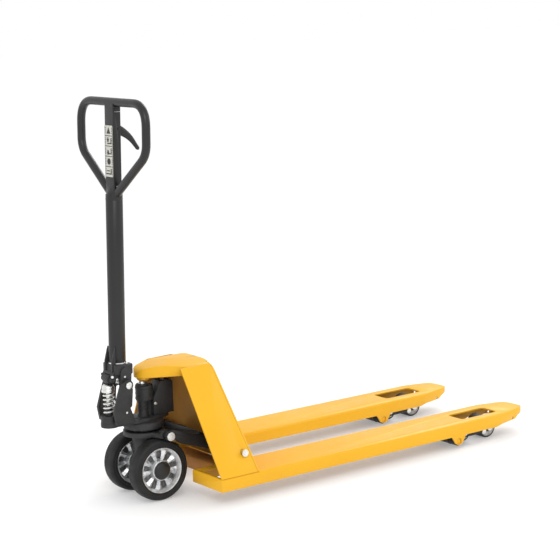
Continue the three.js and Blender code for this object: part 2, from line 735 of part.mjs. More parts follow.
add("base_bracket", baseBracket(), castBlack);
add("thrust_bearing", thrustBearing(), zinc);
add("pump_body", pumpBody(), castBlack);
add("handle_bracket", handleBracket(), castBlack);
add("oil_reservoir", oilReservoir(), castBlack);
add("cylinder_gland", cylinderGland(), zinc);
add("lift_rod", liftRod(), zinc);
add("wheel_axle", wheelAxle(), zinc);
add("handle_pivot_pin", handlePivotPin(), zinc);
add("release_arm", releaseArm(), zinc);
add("pump_plunger", pumpPlunger(), zinc);
add("spring_cap", springCap(), zinc);
add("pump_spring", pumpSpring(), zinc);

// ---- steer wheels ------------------------------------------------------------------------------
const SPOKES = 9;
const SPOKE_START = THREE.MathUtils.degToRad(147);
const HUB_R = 30;

function tyre() {
  const w = WHEEL_HALF;
  const profile = [[RIM_R, -w], [WHEEL_R - 9, -w], [WHEEL_R - 2, -w + 4], [WHEEL_R, -w + 11]];
  const other = profile.map(([r, y]) => [r, -y]).reverse();
  return turnedY([...profile, ...other, profile[0]], STEER_X, WHEEL_R, 36);
}

function rim() {
  const r = RIM_R - GAP;
  const w = WHEEL_HALF - 1;
  const band = turnedY([[r - 7, -w], [r, -w], [r, w], [r - 7, w], [r - 7, -w]], STEER_X, WHEEL_R, 36);
  const hub = turnedY([[20.4, -w], [HUB_R, -w], [HUB_R, w], [20.4, w], [20.4, -w]], STEER_X, WHEEL_R, 20);
  const web = turnedY([[25, -3], [r - 3, -3], [r - 3, 3], [25, 3], [25, -3]], STEER_X, WHEEL_R, 36);
  let body = join(band, hub, web);
  for (let i = 0; i < SPOKES; i += 1) {
    const spoke = new THREE.BoxGeometry(r - HUB_R - 2, 24, 12);
    const turn = SPOKE_START + (2 * Math.PI * i) / SPOKES;
    spoke.translate((r + HUB_R) / 2 - 2, 0, 0).rotateY(-turn);
    body = body.add(solid(spoke.translate(STEER_X, 0, WHEEL_R)));
  }
  return body;
}

function wheelBearing() {
  const w = WHEEL_HALF - 3;
  return turnedY([[10.4, -w], [20, -w], [20, w], [10.4, w], [10.4, -w]], STEER_X, WHEEL_R, 18);
}

function hubCap() {
  const seat = WHEEL_HALF - 0.6;
  const profile = [[0, seat], [28, seat], [28, seat + 4], [22, seat + 9], [0, seat + 10]];
  return turnedY(profile, STEER_X, WHEEL_R, 24);
}

for (const [name, side] of SIDES) {
  const wheel = new THREE.Group();
  wheel.position.y = side * WHEEL_Y;
  truck.add(wheel);
  add(`tyre_${name}`, tyre(), rubber, wheel);
  add(`rim_${name}`, rim(), castAluminium, wheel);
  add(`wheel_bearing_${name}`, wheelBearing(), zinc, wheel);
  const cap = hubCap();
  add(`hub_cap_${name}`, side > 0 ? cap : cap.mirror([0, 1, 0]), black, wheel);
}

// ---- handle ------------------------------------------------------------------------------------
// Built upright with the pivot at the origin, then leaned and put in place.
const handle = new THREE.Group();
handle.position.set(PIVOT.x, 0, PIVOT.z);
handle.rotation.y = HANDLE_LEAN;
truck.add(handle);
const stem = new THREE.Group();
stem.position.x = TUBE_X;
handle.add(stem);
const CAM = { x: -38, z: 16, r: 14 }; // roller that presses on the spring cap
const SOCKET_TOP = 62;
const LEVER = { x: 6, z: 768 }; // pivot of the release lever
const RELEASE_ROD_X = -4;
const LOOP_FOOT = 574; // where the loop's sides meet the tube

function handleBase() {
  const block = alongX(roundedRect(0, 46, 36, 16, 4), -34, 26);
  const gusset = polygon([
    [-25.3, 40],
    [-25.3, 114],
    [-28.5, 106],
    [-37.5, 70],
    [-38, 40],
  ]);
  const gussets = join(alongY(gusset, 17, 23), alongY(gusset, -23, -17));
  const lug = alongY(link(0, 0, 17, 0, 36, 19), -41.5, 41.5);
  const ears = alongY(link(CAM.x, CAM.z, 9, CAM.x + 12, 34, 12), -30, 30);
  const rollerRoom = box(CAM.x - 16, CAM.x + 15.5, -17, 17, -10, 32);
  const pinBore = cylinderY(0, 0, 8.4, -60, 60, 20);
  const camBore = cylinderY(CAM.x, CAM.z, 5.4, -40, 40, 16);
  const gap = box(-18, 18, -26, 26, -20, 26);
  const tubeSocket = cylinderZ(TUBE_X, 0, TUBE_R + GAP, 42, 110, 32);
  const rodRoom = cylinderZ(TUBE_X + RELEASE_ROD_X, 0, 7, 20, 70, 16);
  const casting = join(block, gussets, lug, ears);
  return cut(casting, rollerRoom, pinBore, camBore, gap, tubeSocket, rodRoom);
}

// The round tube from the base casting up to the foot of the loop.
function handleTube() {
  const outside = cylinderZ(0, 0, TUBE_R, 42.5, LOOP_FOOT, 32);
  return cut(outside, cylinderZ(0, 0, TUBE_R - 2.5, 40, LOOP_FOOT + 5, 20));
}

// The flat-sided head inside the loop, which holds the release lever.
function handleHead() {
  const foot = LOOP_FOOT + GAP;
  const top = HANDLE_TOP - LOOP_R - GAP;
  const outside = alongZ(roundedRect(0, 0, HEAD_HALF_X, HEAD_HALF_Y, 2), foot, top);
  const inside = alongZ(roundedRect(0, 0, HEAD_HALF_X - 3, HEAD_HALF_Y - 3, 1), foot - 5, top + 5);
  const leverWindow = box(-2, 20, -6, 6, LEVER.z - 46, LEVER.z + 34);
  const leverBore = cylinderY(LEVER.x, LEVER.z, 4.4, -40, 40, 14);
  return cut(outside, inside, leverWindow, leverBore);
}

// The loop that the operator holds: a bent tube from one side of the handle over the top to the other.
function handleLoop() {
  const half = LOOP_HALF;
  const corner = 68;
  const bend = 34;
  const kink = 700;
  const foot = HEAD_HALF_Y + 12;
  const path = new THREE.CurvePath();
  const v = (y, z) => new THREE.Vector3(0, y, z);
  const toFoot = v(-foot, LOOP_FOOT).sub(v(-half, kink)).normalize().multiplyScalar(bend);
  const pieces = [
    [v(-foot, LOOP_FOOT), v(-half, kink).add(toFoot)],
    [v(-half, kink).add(toFoot), v(-half, kink), v(-half, kink + bend)],
    [v(-half, kink + bend), v(-half, HANDLE_TOP - corner)],
    [v(-half, HANDLE_TOP - corner), v(-half, HANDLE_TOP), v(-half + corner, HANDLE_TOP)],
    [v(-half + corner, HANDLE_TOP), v(0, HANDLE_TOP)],
  ];
  const mirrored = pieces.map((piece) => piece.map((p) => v(-p.y, p.z)).reverse()).reverse();
  for (const piece of [...pieces, ...mirrored])
    path.add(
      piece.length === 2
        ? new THREE.LineCurve3(...piece)
        : new THREE.QuadraticBezierCurve3(...piece),
    );
  const section = new THREE.Shape();
  section.absarc(0, 0, LOOP_R, 0, 2 * Math.PI, false);
  return solid(
    new THREE.ExtrudeGeometry(section, {
      extrudePath: path,
      steps: 54,
      curveSegments: 4,
      bevelEnabled: false,
    }),
  );
}

function camRoller() {
  const profile = [[0, -33], [5, -33], [5, -16], [CAM.r - 1, -16], [CAM.r, -15]];
  const other = profile.map(([r, y]) => [r, -y]).reverse();
  return turnedY([...profile, ...other], CAM.x, CAM.z, 24);
}

function leverPin() {
  return cylinderY(LEVER.x, LEVER.z, 4, -25, 25, 16);
}

// The trigger: a short arm inside the tube and a curved finger piece that points to the forks.
function releaseLever() {
  const shape = new THREE.Shape();
  shape.moveTo(LEVER.x - 7, LEVER.z + 5);
  shape.quadraticCurveTo(LEVER.x, LEVER.z + 13, LEVER.x + 9, LEVER.z + 10);
  shape.quadraticCurveTo(LEVER.x + 36, LEVER.z - 5, LEVER.x + 60, LEVER.z - 34);
  shape.quadraticCurveTo(LEVER.x + 77, LEVER.z - 54, LEVER.x + 80, LEVER.z - 62);
  shape.quadraticCurveTo(LEVER.x + 80, LEVER.z - 69, LEVER.x + 73, LEVER.z - 67);
  shape.quadraticCurveTo(LEVER.x + 50, LEVER.z - 38, LEVER.x + 22, LEVER.z - 22);
  shape.lineTo(LEVER.x + 4, LEVER.z - 20);
  shape.lineTo(LEVER.x - 7, LEVER.z - 9);
  shape.closePath();
  return cut(alongY(shape, -5, 5), cylinderY(LEVER.x, LEVER.z, 4.4, -10, 10, 16));
}

// The rod inside the handle that carries the lever's pull down to the pump.
function releaseRod() {
  return cylinderZ(RELEASE_ROD_X, 0, 3, 30, LEVER.z - 26, 12);
}

function decalPlate() {
  const face = -HEAD_HALF_X - GAP;
  return alongX(roundedRect(0, 701.5, 21.8, 76, 3), face - 1, face);
}

// One of the two bolts at opposite corners of the base's top.
function baseBolt(x, y) {
  const head = cylinderZ(x, y, 4.5, SOCKET_TOP + GAP, SOCKET_TOP + 5, 6);
  return join(head, cylinderZ(x, y, 2.6, SOCKET_TOP + 4, SOCKET_TOP + 8, 12));
}

add("handle_base", handleBase(), castBlack, handle);
add("cam_roller", camRoller(), zinc, handle);
add("base_bolt_left", baseBolt(-26, 28.5), zinc, handle);
add("base_bolt_right", baseBolt(9, -29), zinc, handle);
add("handle_tube", handleTube(), black, stem);
add("handle_head", handleHead(), black, stem);
add("handle_loop", handleLoop(), black, stem);
add("lever_pin", leverPin(), zinc, stem);
add("release_lever", releaseLever(), black, stem);
add("release_rod", releaseRod(), zinc, stem);
add("decal_plate", decalPlate(), cream, stem);

// ---- the whole truck, centred on its length ------------------------------------------------------
const palletTruck = new THREE.Group();
truck.position.x = -CENTRE_X;
palletTruck.add(truck);

export default palletTruck;
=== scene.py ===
import json
import math

import bmesh
import bpy
from mathutils import Matrix, Vector


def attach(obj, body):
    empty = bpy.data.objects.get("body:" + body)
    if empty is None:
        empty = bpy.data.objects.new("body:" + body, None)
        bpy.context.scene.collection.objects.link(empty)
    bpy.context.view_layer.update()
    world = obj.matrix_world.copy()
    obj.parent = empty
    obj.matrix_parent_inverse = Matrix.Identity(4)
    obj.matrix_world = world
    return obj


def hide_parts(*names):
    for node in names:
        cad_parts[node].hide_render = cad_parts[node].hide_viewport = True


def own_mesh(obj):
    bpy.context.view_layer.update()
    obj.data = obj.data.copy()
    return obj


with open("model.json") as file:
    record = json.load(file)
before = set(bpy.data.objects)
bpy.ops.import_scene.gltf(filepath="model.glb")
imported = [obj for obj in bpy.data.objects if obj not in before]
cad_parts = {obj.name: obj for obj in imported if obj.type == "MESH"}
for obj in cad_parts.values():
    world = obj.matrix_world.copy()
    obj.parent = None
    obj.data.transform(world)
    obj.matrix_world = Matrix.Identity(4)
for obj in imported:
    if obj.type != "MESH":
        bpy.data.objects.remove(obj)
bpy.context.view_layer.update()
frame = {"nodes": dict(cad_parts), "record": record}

# ---- dimensions in millimetres; X is counted from the heel of the forks, as in the CAD source --
CENTRE_X = 521.35  # middle of the truck's length
HALF_WIDTH = 275  # truck centre to the outside of a fork
FORK_HALF = 80
FORK_Y = HALF_WIDTH - FORK_HALF
FORK_TOP = 85
HEEL_SLOPE = 175 / 315  # how far a side plate leans in for each mm of height
FACE_LEAN = 0.1375  # how far the load face leans back for each mm of height
FACE_X = 140  # foot of the load face
INSIDE_X = 60.35  # faces beyond this that look back to the wheels are inside the heel frame and get painted shade
LOAD_AXLE = (1118, 37)  # X and Z, as in the other places with two numbers
EXIT_AXLE = (1010, 37)
ENTRY_AXLE = (1209, 56.5)
FRAME_PIN = (1093, 27)
FRAME_SIDE = 43.2  # outer face of a wheel frame, from the middle of its fork
STEER_X = -97  # steering axis
WHEEL_R = 95  # steer wheel
WHEEL_Y = 72
PUMP_X = -215.3  # plunger axis
SPOKES = 9
SPOKE_START = 147  # degrees, the first spoke
ROCKER_PIN = (-72, 201)
PIVOT = (-175.5, 366)  # handle pivot
HANDLE_LEAN = math.radians(1.9)
HANDLE_TOP = 846.2  # pivot to the middle of the top bar, along the handle
TUBE_X = -5.5  # the tube stands a little behind the pivot
TUBE_R = 25.7
HEAD_HALF_X = 13.5  # flat-sided part of the handle, inside the loop
HEAD_HALF_Y = 24
LOOP_R = 12.7  # radius of the loop's bar
LOOP_HALF = 186.2  # handle centre to the middle of the loop's side
LOOP_FOOT = 589  # pivot to where the loop meets the tube
SIDES = (("left", 1), ("right", -1))


def metres(x, y, z):
    return Vector(((x - CENTRE_X) / 1000, y / 1000, z / 1000))


# ---- materials -----------------------------------------------------------------------------------
def node_material(name, roughness, metallic=0.0, specular=0.5):
    """A new material and its nodes, links, shader and object coordinates."""
    material = bpy.data.materials.new(name)
    material.use_nodes = True
    nodes, links = material.node_tree.nodes, material.node_tree.links
    shader = nodes["Principled BSDF"]
    shader.inputs["Roughness"].default_value = roughness
    shader.inputs["Metallic"].default_value = metallic
    shader.inputs["Specular IOR Level"].default_value = specular
    return material, nodes, links, shader, nodes.new("ShaderNodeTexCoord").outputs["Object"]


def noise(nodes, links, where, scale, detail=3.0, roughness=0.5):
    """Noise from 0 to 1; scale is in lumps to the metre."""
    node = nodes.new("ShaderNodeTexNoise")
    node.inputs["Scale"].default_value = scale
    node.inputs["Detail"].default_value = detail
    node.inputs["Roughness"].default_value = roughness
    links.new(where, node.inputs["Vector"])
    return node.outputs["Fac"]


def ramp(nodes, links, factor, *stops):
    """A colour ramp with (position, colour) stops; a single number is a grey."""
    node = nodes.new("ShaderNodeValToRGB")
    links.new(factor, node.inputs["Fac"])
    elements = node.color_ramp.elements
    while len(elements) < len(stops):
        elements.new(0.5)
    for element, (position, colour) in zip(elements, stops):
        element.position = position
        rgb = colour if isinstance(colour, tuple) else (colour,) * 3
        element.color = (*rgb, 1)
    return node.outputs["Color"]


def bump(nodes, links, shader, height, strength, distance, under=None):
    """Relief on the shader's surface, over another relief if one is given."""
    node = nodes.new("ShaderNodeBump")
    node.inputs["Strength"].default_value = strength
    node.inputs["Distance"].default_value = distance
    links.new(height, node.inputs["Height"])
    if under is not None:
        links.new(under, node.inputs["Normal"])
    links.new(node.outputs["Normal"], shader.inputs["Normal"])
    return node.outputs["Normal"]


def mix(nodes, links, factor, a, b):
    """A blend of two colours, each a constant or a socket: a at 0 and b at 1."""
    node = nodes.new("ShaderNodeMix")
    node.data_type = "RGBA"
    links.new(factor, node.inputs["Factor"])
    for socket, value in ((node.inputs[6], a), (node.inputs[7], b)):
        if isinstance(value, tuple):
            socket.default_value = (*value, 1)
        else:
            links.new(value, socket)
    return node.outputs[2]


def calculate(nodes, links, value, operation, other):
    """One step of arithmetic on a value and a number or a second value."""
    node = nodes.new("ShaderNodeMath")
    node.operation = operation
    links.new(value, node.inputs[0])
    if isinstance(other, (int, float)):
        node.inputs[1].default_value = other
    else:
        links.new(other, node.inputs[1])
    return node.outputs[0]


def worn_edges(nodes, links, where, low, high):
    """1 where the surface is a sharp convex edge, broken up by noise."""
    geometry = nodes.new("ShaderNodeNewGeometry")
    edge = ramp(nodes, links, geometry.outputs["Pointiness"], (low, 0.0), (high, 1.0))
    spots = ramp(nodes, links, noise(nodes, links, where, 55, 5), (0.45, 0.0), (0.62, 1.0))
    return calculate(nodes, links, edge, "MULTIPLY", spots)


def painted_shade(nodes, links, where, colour, reach, shade_colour):
    """Painted shade: in patches, the colour darkens towards the given shade colour where the shape closes in
    and on the faces inside the heel frame.
    """
    hollow = nodes.new("ShaderNodeAmbientOcclusion")
    hollow.samples = 8
    hollow.inputs["Distance"].default_value = reach
    # painted shade grows where the surroundings close in
    shut = ramp(nodes, links, hollow.outputs["AO"], (0.05, 0.6), (0.35, 0.0))
    patchy = ramp(nodes, links, noise(nodes, links, where, 14, 4), (0.25, 0.75), (0.75, 1.0))
    either = calculate(nodes, links, shut, "MAXIMUM", frame_inside(nodes, links, where))
    amount = calculate(nodes, links, either, "MULTIPLY", patchy)
    return mix(nodes, links, calculate(nodes, links, amount, "MULTIPLY", 0.8), colour, shade_colour)


def frame_inside(nodes, links, where):
    """1 on the faces that look into the heel frame: its back, its inner sides and under the hood; these get
    painted shade.
    """
    facing = nodes.new("ShaderNodeSeparateXYZ")
    links.new(nodes.new("ShaderNodeNewGeometry").outputs["Normal"], facing.inputs[0])
    place = nodes.new("ShaderNodeSeparateXYZ")
    links.new(where, place.inputs[0])
    outward = calculate(nodes, links, place.outputs["Y"], "MULTIPLY", facing.outputs["Y"])
    inward = calculate(nodes, links, outward, "LESS_THAN", -0.015)
    inside = calculate(nodes, links, place.outputs["X"], "GREATER_THAN", metres(INSIDE_X, 0, 0).x)
    to_wheels = calculate(nodes, links, facing.outputs["X"], "LESS_THAN", -0.5)
    back = calculate(nodes, links, to_wheels, "MULTIPLY", inside)
    under = calculate(nodes, links, facing.outputs["Z"], "LESS_THAN", -0.4)
    sides_or_back = calculate(nodes, links, inward, "MAXIMUM", back)
    any_face = calculate(nodes, links, sides_or_back, "MAXIMUM", under)
    above = calculate(nodes, links, place.outputs["Z"], "GREATER_THAN", (FORK_TOP + 3) / 1000)
    return calculate(nodes, links, any_face, "MULTIPLY", above)


def powder_coat(name, base, shade, primer, roughness, specular, shade_colour=None):
    """Powder coat: slight colour drift, orange peel, and thinner paint on sharp edges; with a last colour
    given, painted shade darkens its recesses and the inside of the heel frame.
    """
    material, nodes, links, shader, where = node_material(name, roughness, 0, specular)
    drift = ramp(nodes, links, noise(nodes, links, where, 4, 3), (0.3, shade), (0.7, base))
    colour = mix(nodes, links, worn_edges(nodes, links, where, 0.56, 0.64), drift, primer)
    # painted shade: the colour turns towards the last colour given in recesses and inside the heel frame
    if shade_colour is not None:
        colour = painted_shade(nodes, links, where, colour, 0.4, shade_colour)
    links.new(colour, shader.inputs["Base Color"])
    rough = noise(nodes, links, where, 22, 4)
    low, high = roughness - 0.05, roughness + 0.08
    links.new(ramp(nodes, links, rough, (0.3, low), (0.7, high)), shader.inputs["Roughness"])
    bump(nodes, links, shader, noise(nodes, links, where, 520, 2), 0.12, 0.0004)
    return material


def cast_iron(name, base, shade, roughness):
    """Painted sand casting: coarse grain, soft lumps and duller hollows."""
    material, nodes, links, shader, where = node_material(name, roughness, 0, 0.4)
    drift = ramp(nodes, links, noise(nodes, links, where, 28, 5), (0.3, shade), (0.7, base))
    colour = mix(nodes, links, worn_edges(nodes, links, where, 0.57, 0.66), drift, (0.06, 0.058, 0.055))
    links.new(colour, shader.inputs["Base Color"])
    rough = noise(nodes, links, where, 60, 4)
    low, high = roughness - 0.08, roughness + 0.1
    links.new(ramp(nodes, links, rough, (0.3, low), (0.7, high)), shader.inputs["Roughness"])
    lumps = bump(nodes, links, shader, noise(nodes, links, where, 90, 3), 0.25, 0.0016)
    bump(nodes, links, shader, noise(nodes, links, where, 620, 3, 0.7), 0.35, 0.0005, lumps)
    return material


def bare_metal(name, base, shade, roughness, stretch, bump_strength=0.12, metallic=1.0):
    """Bare or plated metal with fine turning or draw marks along stretch, and dull stains."""
    material, nodes, links, shader, where = node_material(name, roughness, metallic)
    mapping = nodes.new("ShaderNodeMapping")
    mapping.inputs["Scale"].default_value = stretch
    links.new(where, mapping.inputs["Vector"])
    marks = noise(nodes, links, mapping.outputs["Vector"], 300, 4, 0.6)
    stains = ramp(nodes, links, noise(nodes, links, where, 70, 4), (0.35, shade), (0.65, base))
    links.new(stains, shader.inputs["Base Color"])
    low, high = max(0.05, roughness - 0.1), roughness + 0.15
    links.new(ramp(nodes, links, marks, (0.3, low), (0.7, high)), shader.inputs["Roughness"])
    bump(nodes, links, shader, marks, bump_strength, 0.0003)
    return material


def rubber(name, base, shade, roughness):
    """Moulded rubber or nylon with fine pores and scuffs."""
    material, nodes, links, shader, where = node_material(name, roughness, 0, 0.35)
    scuffs = ramp(nodes, links, noise(nodes, links, where, 35, 6, 0.65), (0.35, shade), (0.7, base))
    links.new(scuffs, shader.inputs["Base Color"])
    rough = noise(nodes, links, where, 45, 5)
    low, high = roughness - 0.08, min(1.0, roughness + 0.12)
    links.new(ramp(nodes, links, rough, (0.3, low), (0.7, high)), shader.inputs["Roughness"])
    bump(nodes, links, shader, noise(nodes, links, where, 900, 3, 0.7), 0.25, 0.0003)
    return material


YELLOW_TONES = ((0.83, 0.44, 0.014), (0.8, 0.41, 0.011), (0.9, 0.53, 0.05))
# The fork yellow's last colour is painted shade, laid in its recesses and inside the heel frame.
YELLOW = powder_coat("fork_yellow", *YELLOW_TONES, 0.42, 0.3, (0.25, 0.11, 0.058))
# A darker copy of the yellow is painted shade for the cross member, which sits in shade deep in the heel
# frame; its last colour is more painted shade in recesses.
SHADED_TONES = ((0.72, 0.31, 0.05), (0.58, 0.24, 0.05), (0.7, 0.36, 0.08))
SHADED_YELLOW = powder_coat("painted_shade_yellow", *SHADED_TONES, 0.5, 0.25, (0.36, 0.15, 0.06))
BLACK_TONES = ((0.018, 0.0172, 0.0172), (0.013, 0.013, 0.013), (0.06, 0.06, 0.06))
BLACK = powder_coat("black_coat", *BLACK_TONES, 0.34, 0.38)
CAST = cast_iron("cast_black", (0.03, 0.029, 0.029), (0.017, 0.017, 0.017), 0.5)
ZINC = bare_metal("zinc_plate", (0.86, 0.86, 0.84), (0.68, 0.68, 0.66), 0.3, (1, 1, 6))
STEEL = bare_metal("spring_steel", (0.8, 0.8, 0.78), (0.6, 0.6, 0.58), 0.3, (1, 1, 8), 0.12, 0.5)
ALUMINIUM = bare_metal("cast_aluminium", (0.82, 0.83, 0.84), (0.6, 0.61, 0.62), 0.36, (1, 1, 1), 0.3)
ROLLER_CORE = bare_metal("roller_core", (0.5, 0.5, 0.49), (0.26, 0.26, 0.25), 0.42, (1, 1, 4), 0.12, 0.7)
DULL_CAST = bare_metal("dull_aluminium", (0.2, 0.2, 0.2), (0.09, 0.09, 0.09), 0.6, (1, 1, 1), 0.4)
TYRE = rubber("tyre_rubber", (0.016, 0.016, 0.0155), (0.009, 0.009, 0.009), 0.6)
NYLON = rubber("roller_nylon", (0.022, 0.022, 0.022), (0.012, 0.012, 0.012), 0.45)
FILM = rubber("decal_film", (0.62, 0.61, 0.55), (0.5, 0.49, 0.44), 0.4)
INK = rubber("decal_ink", (0.035, 0.035, 0.036), (0.02, 0.02, 0.02), 0.45)
SEAM = bare_metal("head_seam", (0.55, 0.55, 0.54), (0.3, 0.3, 0.3), 0.4, (1, 1, 1))

SLOT_MATERIALS = {
    "fork_paint": YELLOW,
    "black_paint": BLACK,
    "cast_black": CAST,
    "zinc": ZINC,
    "spring_steel": STEEL,
    "rim_aluminium": ALUMINIUM,
    "tyre_rubber": TYRE,
    "roller_nylon": NYLON,
    "decal": FILM,
}


# ---- rounding ------------------------------------------------------------------------------------
def round_edges(obj, width, angle, segments=2):
    """Rounds edges sharper than the angle; the width is in millimetres."""
    bevel = obj.modifiers.new("round_edges", "BEVEL")
    bevel.width = width / 1000
    bevel.segments = segments
    bevel.limit_method = "ANGLE"
    bevel.angle_limit = math.radians(angle)
    bevel.harden_normals = True
    bevel.use_clamp_overlap = True


def soften(obj, width, angle=32, segments=2):
    """Welds a CAD node's mesh, then rounds its sharp edges and shades it smooth."""
    weld = obj.modifiers.new("weld", "WELD")
    weld.merge_threshold = 0.00001
    round_edges(obj, width, angle, segments)
    for polygon in obj.data.polygons:
        polygon.use_smooth = True


# ---- mesh building, in millimetres from the heel of the forks ------------------------------------
def bridge(mesh, rings, closed=False):
    """Skins rings of vertices and caps or joins the ends; returns the faces of each band."""
    pairs = list(zip(rings, rings[1:]))
    if closed:
        pairs.append((rings[-1], rings[0]))
    bands = []
    for low, high in pairs:
        band = []
        for i in range(len(low)):
            j = (i + 1) % len(low)
            band.append(mesh.faces.new((low[i], low[j], high[j], high[i])))
        bands.append(band)
    if not closed:
        mesh.faces.new(rings[0])
        mesh.faces.new(rings[-1])
    return bands


def lathe(mesh, profile, centre, axis="Y", segments=48, closed=False):
    """Turns [radius, height] points round a Y or Z axis; returns the faces of each profile step."""
    cx, cy, cz = centre
    rings = []
    for radius, height in profile:
        ring = []
        for i in range(segments):
            angle = 2 * math.pi * i / segments
            u, v = radius * math.cos(angle), radius * math.sin(angle)
            at = (cx + u, cy + height, cz + v) if axis == "Y" else (cx + u, cy + v, cz + height)
            ring.append(mesh.verts.new(at))
        rings.append(ring)
    return bridge(mesh, rings, closed)


def sweep(mesh, path, half_widths, sides=16):
    """A tube of elliptic section along a path; half_widths(t) gives its two half sizes at 0 to 1."""
    points = [Vector(p) for p in path]
    count = len(points)
    neighbours = [(points[max(i - 1, 0)], points[min(i + 1, count - 1)]) for i in range(count)]
    tangents = [(after - before).normalized() for before, after in neighbours]
    side = tangents[0].orthogonal().normalized()
    if abs(tangents[0].dot(Vector((0, 1, 0)))) < 0.9:
        side = (Vector((0, 1, 0)) - tangents[0] * tangents[0].y).normalized()
    rings = []
    for i, (point, tangent) in enumerate(zip(points, tangents)):
        side = (side - tangent * side.dot(tangent)).normalized()
        other = tangent.cross(side)
        a, b = half_widths(i / (count - 1))
        ring = []
        for k in range(sides):
            angle = 2 * math.pi * k / sides
            offset = side * (a * math.cos(angle)) + other * (b * math.sin(angle))
            ring.append(mesh.verts.new(point + offset))
        rings.append(ring)
    bridge(mesh, rings)


def loft(mesh, low, high):
    """A closed body between two outlines with the same number of corners."""
    bridge(mesh, [[mesh.verts.new(point) for point in outline] for outline in (low, high)])


def hexagon_head(mesh, centre, across, height, axis):
    """A bolt head with a washer face under a chamfered hexagon."""
    r = across / 2
    flip = -1 if height < 0 else 1
    size = abs(height)
    washer = [(r * 1.18, 0), (r * 1.18, flip * size * 0.2), (r * 0.9, flip * size * 0.22)]
    head = [(r, flip * size * 0.18), (r, flip * size * 0.86), (r * 0.84, flip * size)]
    lathe(mesh, washer, centre, axis, 24)
    lathe(mesh, head, centre, axis, 6)


def smooth_by_angle(mesh, angle):
    """Smooth shading with hard edges where two faces meet at more than the angle."""
    limit = math.radians(angle)
    for face in mesh.faces:
        face.smooth = True
    for edge in mesh.edges:
        if len(edge.link_faces) == 2 and edge.calc_face_angle(0) > limit:
            edge.smooth = False


def make_piece(name, mesh, body, materials, replaces=(), bevel=0, angle=35):
    """Turns a bmesh in millimetres into a piece that rides a body and may stand for CAD nodes."""
    bmesh.ops.recalc_face_normals(mesh, faces=mesh.faces)
    for vertex in mesh.verts:
        vertex.co = metres(*vertex.co)
    smooth_by_angle(mesh, angle)
    data = bpy.data.meshes.new(name)
    mesh.to_mesh(data)
    mesh.free()
    for material in materials if isinstance(materials, tuple) else (materials,):
        data.materials.append(material)
    obj = bpy.data.objects.new(name, data)
    bpy.context.scene.collection.objects.link(obj)
    if bevel:
        round_edges(obj, bevel, angle)
    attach(obj, body)
    if replaces:
        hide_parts(*replaces)
    return obj


def quad_curve(a, b, c, steps):
    """Points of a quadratic curve from a to c, pulled towards b."""
    a, b, c = Vector(a), Vector(b), Vector(c)
    out = []
    for i in range(1, steps + 1):
        t = i / steps
        out.append(a * (1 - t) ** 2 + b * (2 * t * (1 - t)) + c * t**2)
    return out


def weld_bead(mesh, path, size):
    """A hand-laid weld: a half-round bead whose width ripples along its length."""
    points = [Vector(p) for p in path]
    length = sum((b - a).length for a, b in zip(points, points[1:]))
    count = max(8, int(length / (size * 0.5)))
    fine = []
    for i in range(count + 1):
        s = i / count * (len(points) - 1)
        k = min(int(s), len(points) - 2)
        fine.append(points[k].lerp(points[k + 1], s - k))

    def ripple(t):
        wave = 1 + 0.16 * math.sin(t * count * 2.1) + 0.06 * math.sin(t * count * 0.37)
        end = min(1, 0.35 + 8 * min(t, 1 - t))
        return size * wave * end, size * wave * end

    sweep(mesh, fine, ripple, 8)


def stem_point(x, y, z):
    """A point of the upright handle, given from its own axis and its height above the pivot."""
    along = x + TUBE_X
    px = PIVOT[0] + along * math.cos(HANDLE_LEAN) + z * math.sin(HANDLE_LEAN)
    pz = PIVOT[1] - along * math.sin(HANDLE_LEAN) + z * math.cos(HANDLE_LEAN)
    return Vector((px, y, pz))


# ---- wheels and rollers --------------------------------------------------------------------------
def tyre(name, y):
    """A steer wheel's tyre: a crowned tread, rounded shoulders and a ring moulded in each side."""
    mesh = bmesh.new()
    half = [(95, 0), (94.9, 8), (94.4, 14), (93.2, 19), (91, 22.6), (88, 24.4), (84.6, 24.9)]
    half += [(83.4, 24.2), (82.2, 24.2), (81, 25), (75.5, 25), (74.6, 24.2), (73.2, 24.2), (71.4, 24.8)]
    profile = [(r, -w) for r, w in reversed(half[1:])] + half
    lathe(mesh, profile, (STEER_X, y, WHEEL_R), "Y", 96, closed=True)
    make_piece(f"tyre_skin_{name}", mesh, f"wheel_{name}", TYRE, (f"tyre_{name}",))


def rim(name, y):
    """A cast wheel: outer band, hub boss, a dull thin web and ridged spokes that widen outwards."""
    mesh = bmesh.new()
    centre = (STEER_X, y, WHEEL_R)
    band = [(70.4, -24), (70.4, 24), (69.2, 24.6), (67.6, 24), (66.4, 22), (60.5, 13.5), (60, 12)]
    band += [(60, -12), (60.5, -13.5), (66.4, -22), (67.6, -24), (69.2, -24.6)]
    lathe(mesh, band, centre, "Y", 96, closed=True)
    boss = [(20.6, -24), (20.6, 24), (29.5, 24), (31, 23), (32.5, 18), (35.5, 12), (35.5, -12)]
    lathe(mesh, boss + [(32.5, -18), (31, -23), (29.5, -24)], centre, "Y", 64, closed=True)
    web = lathe(mesh, [(33, -3), (33, 3), (62, 3), (62, -3)], centre, "Y", 64, closed=True)
    for band_faces in web:
        for polygon in band_faces:
            polygon.material_index = 1
    for k in range(SPOKES):
        angle = math.radians(SPOKE_START + 360 / SPOKES * k)
        out = Vector((math.cos(angle), 0, math.sin(angle)))
        across = Vector((-math.sin(angle), 0, math.cos(angle)))
        ends = []
        for radius, half in ((33, 6.5), (48, 8.6), (61.5, 13.5)):
            section = [(-half, -5), (0, -12.5), (half, -5), (half, 5), (0, 12.5), (-half, 5)]
            ends.append([Vector(centre) + out * radius + across * a + Vector((0, b, 0)) for a, b in section])
        loft(mesh, ends[0], ends[1])
        loft(mesh, ends[1], ends[2])
    metals = (ALUMINIUM, DULL_CAST)
    make_piece(f"rim_cast_{name}", mesh, f"wheel_{name}", metals, (f"rim_{name}",), 0.8, 28)


